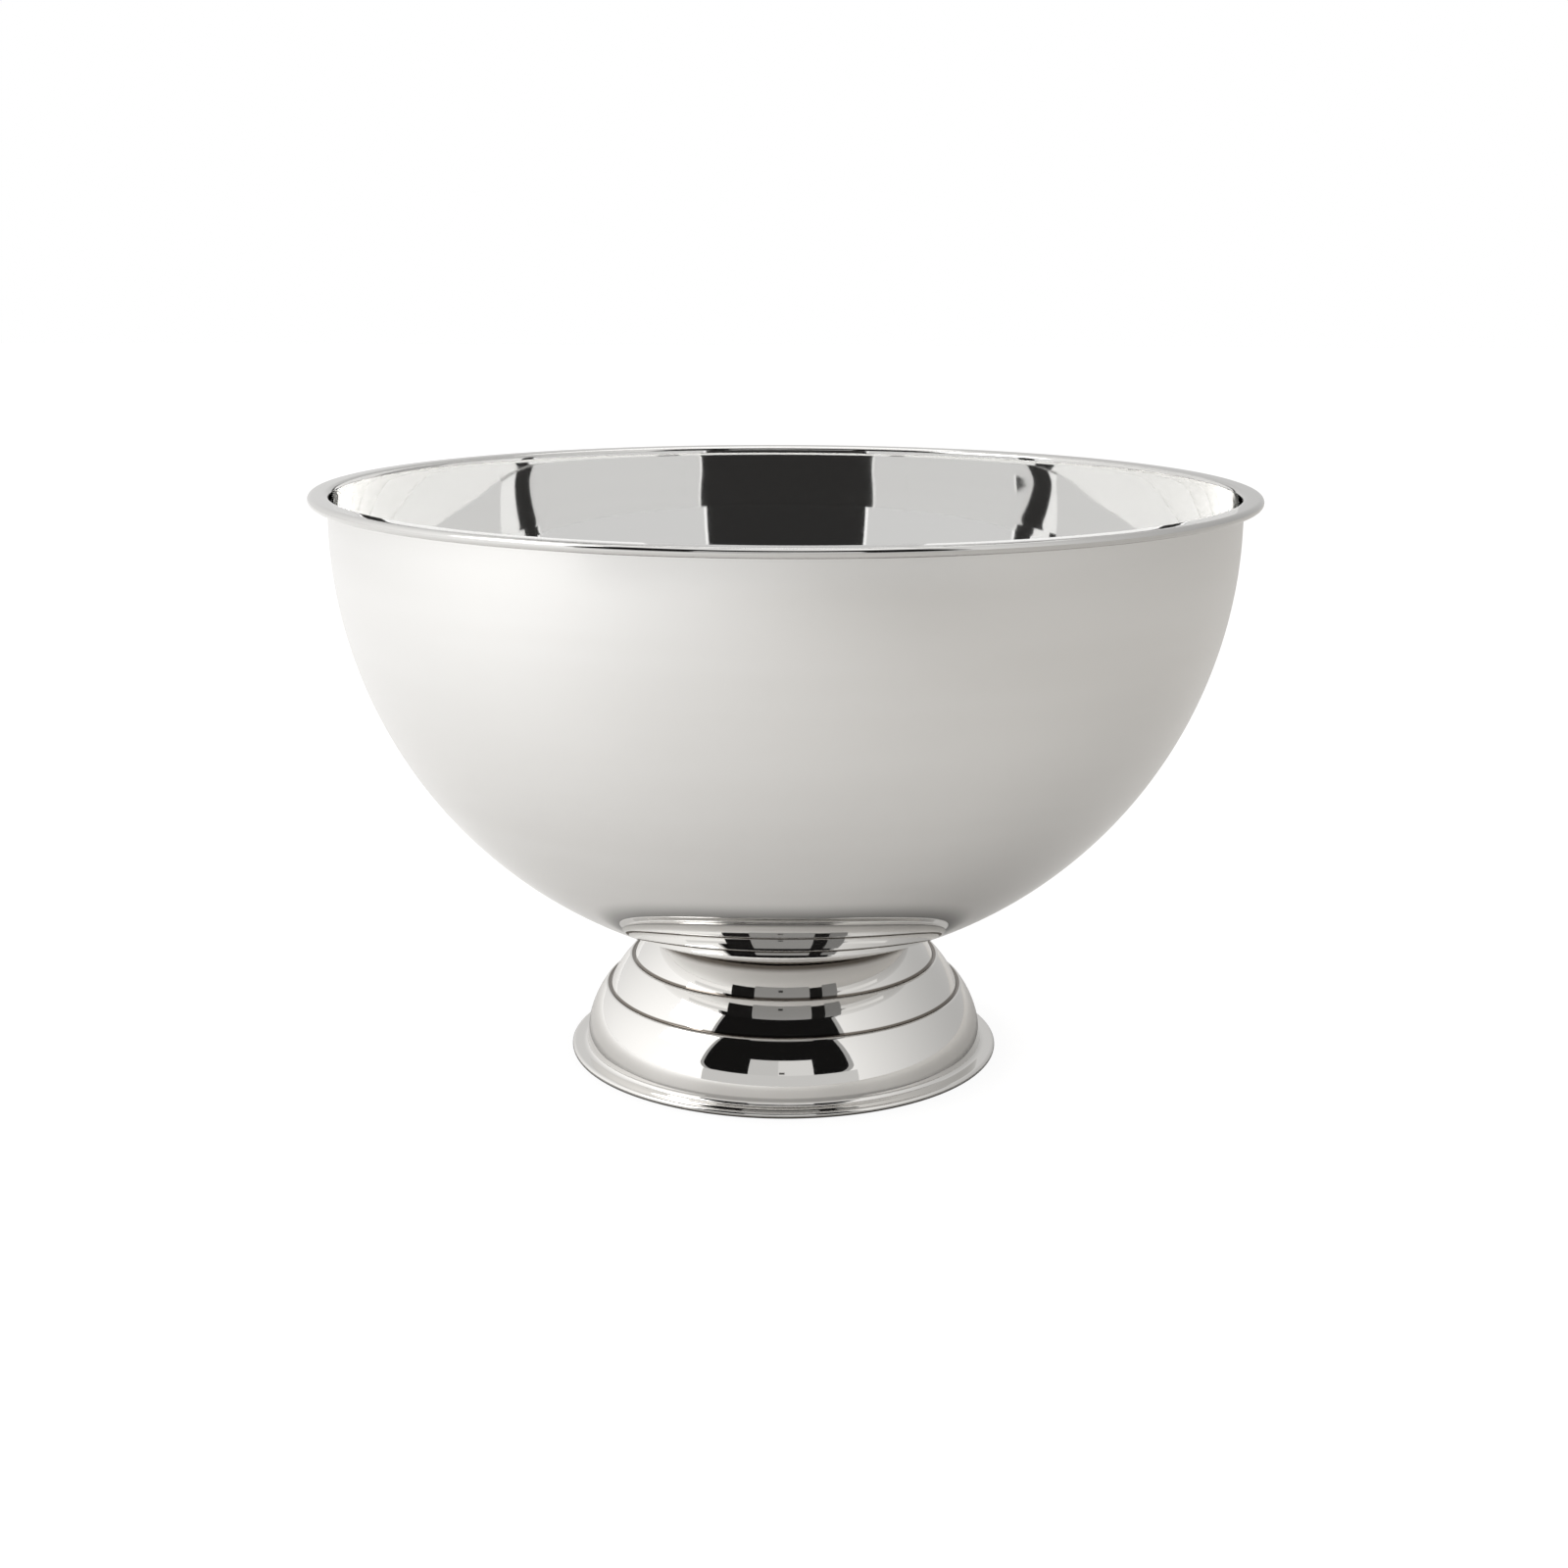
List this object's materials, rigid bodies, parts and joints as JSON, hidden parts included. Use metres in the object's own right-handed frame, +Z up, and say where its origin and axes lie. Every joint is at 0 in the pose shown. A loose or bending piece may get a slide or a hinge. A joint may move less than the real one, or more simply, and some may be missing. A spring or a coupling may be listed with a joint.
{
  "type": "punch bowl",
  "caption": "Footed punch bowl: a spun stainless hemisphere with a rolled lip on a stepped, hollow pedestal foot, held by a stud and wing nut inside the foot.",
  "frame": {"origin": "on the table, under the bowl's axis, at the middle of the foot's flat edge", "axes": "+Z up along the bowl's axis; the bowl is round, so +X and +Y are level and the wing nut's wings lie along X"},
  "size_m": [0.4, 0.4, 0.25],
  "materials": {
    "bowl_steel": "mirror-bright inside, fine satin outside fading to polished at the bottom",
    "foot_steel": "mirror-polished stainless steel",
    "gasket_rubber": "matt dark grey silicone",
    "plate_steel": "as pressed",
    "stud_steel": "machined",
    "clamp_steel": "zinc-plated",
    "washer_steel": "dark spring steel",
    "nut_steel": "nickel-plated"
  },
  "bodies": {
    "root": {"bowl_shell": "bowl_steel", "foot_shell": "foot_steel", "seat_gasket": "gasket_rubber", "stud_plate": "plate_steel", "fixing_stud": "stud_steel", "clamp_disc": "clamp_steel", "lock_washer": "washer_steel", "wing_nut": "nut_steel"}
  },
  "joints": []
}
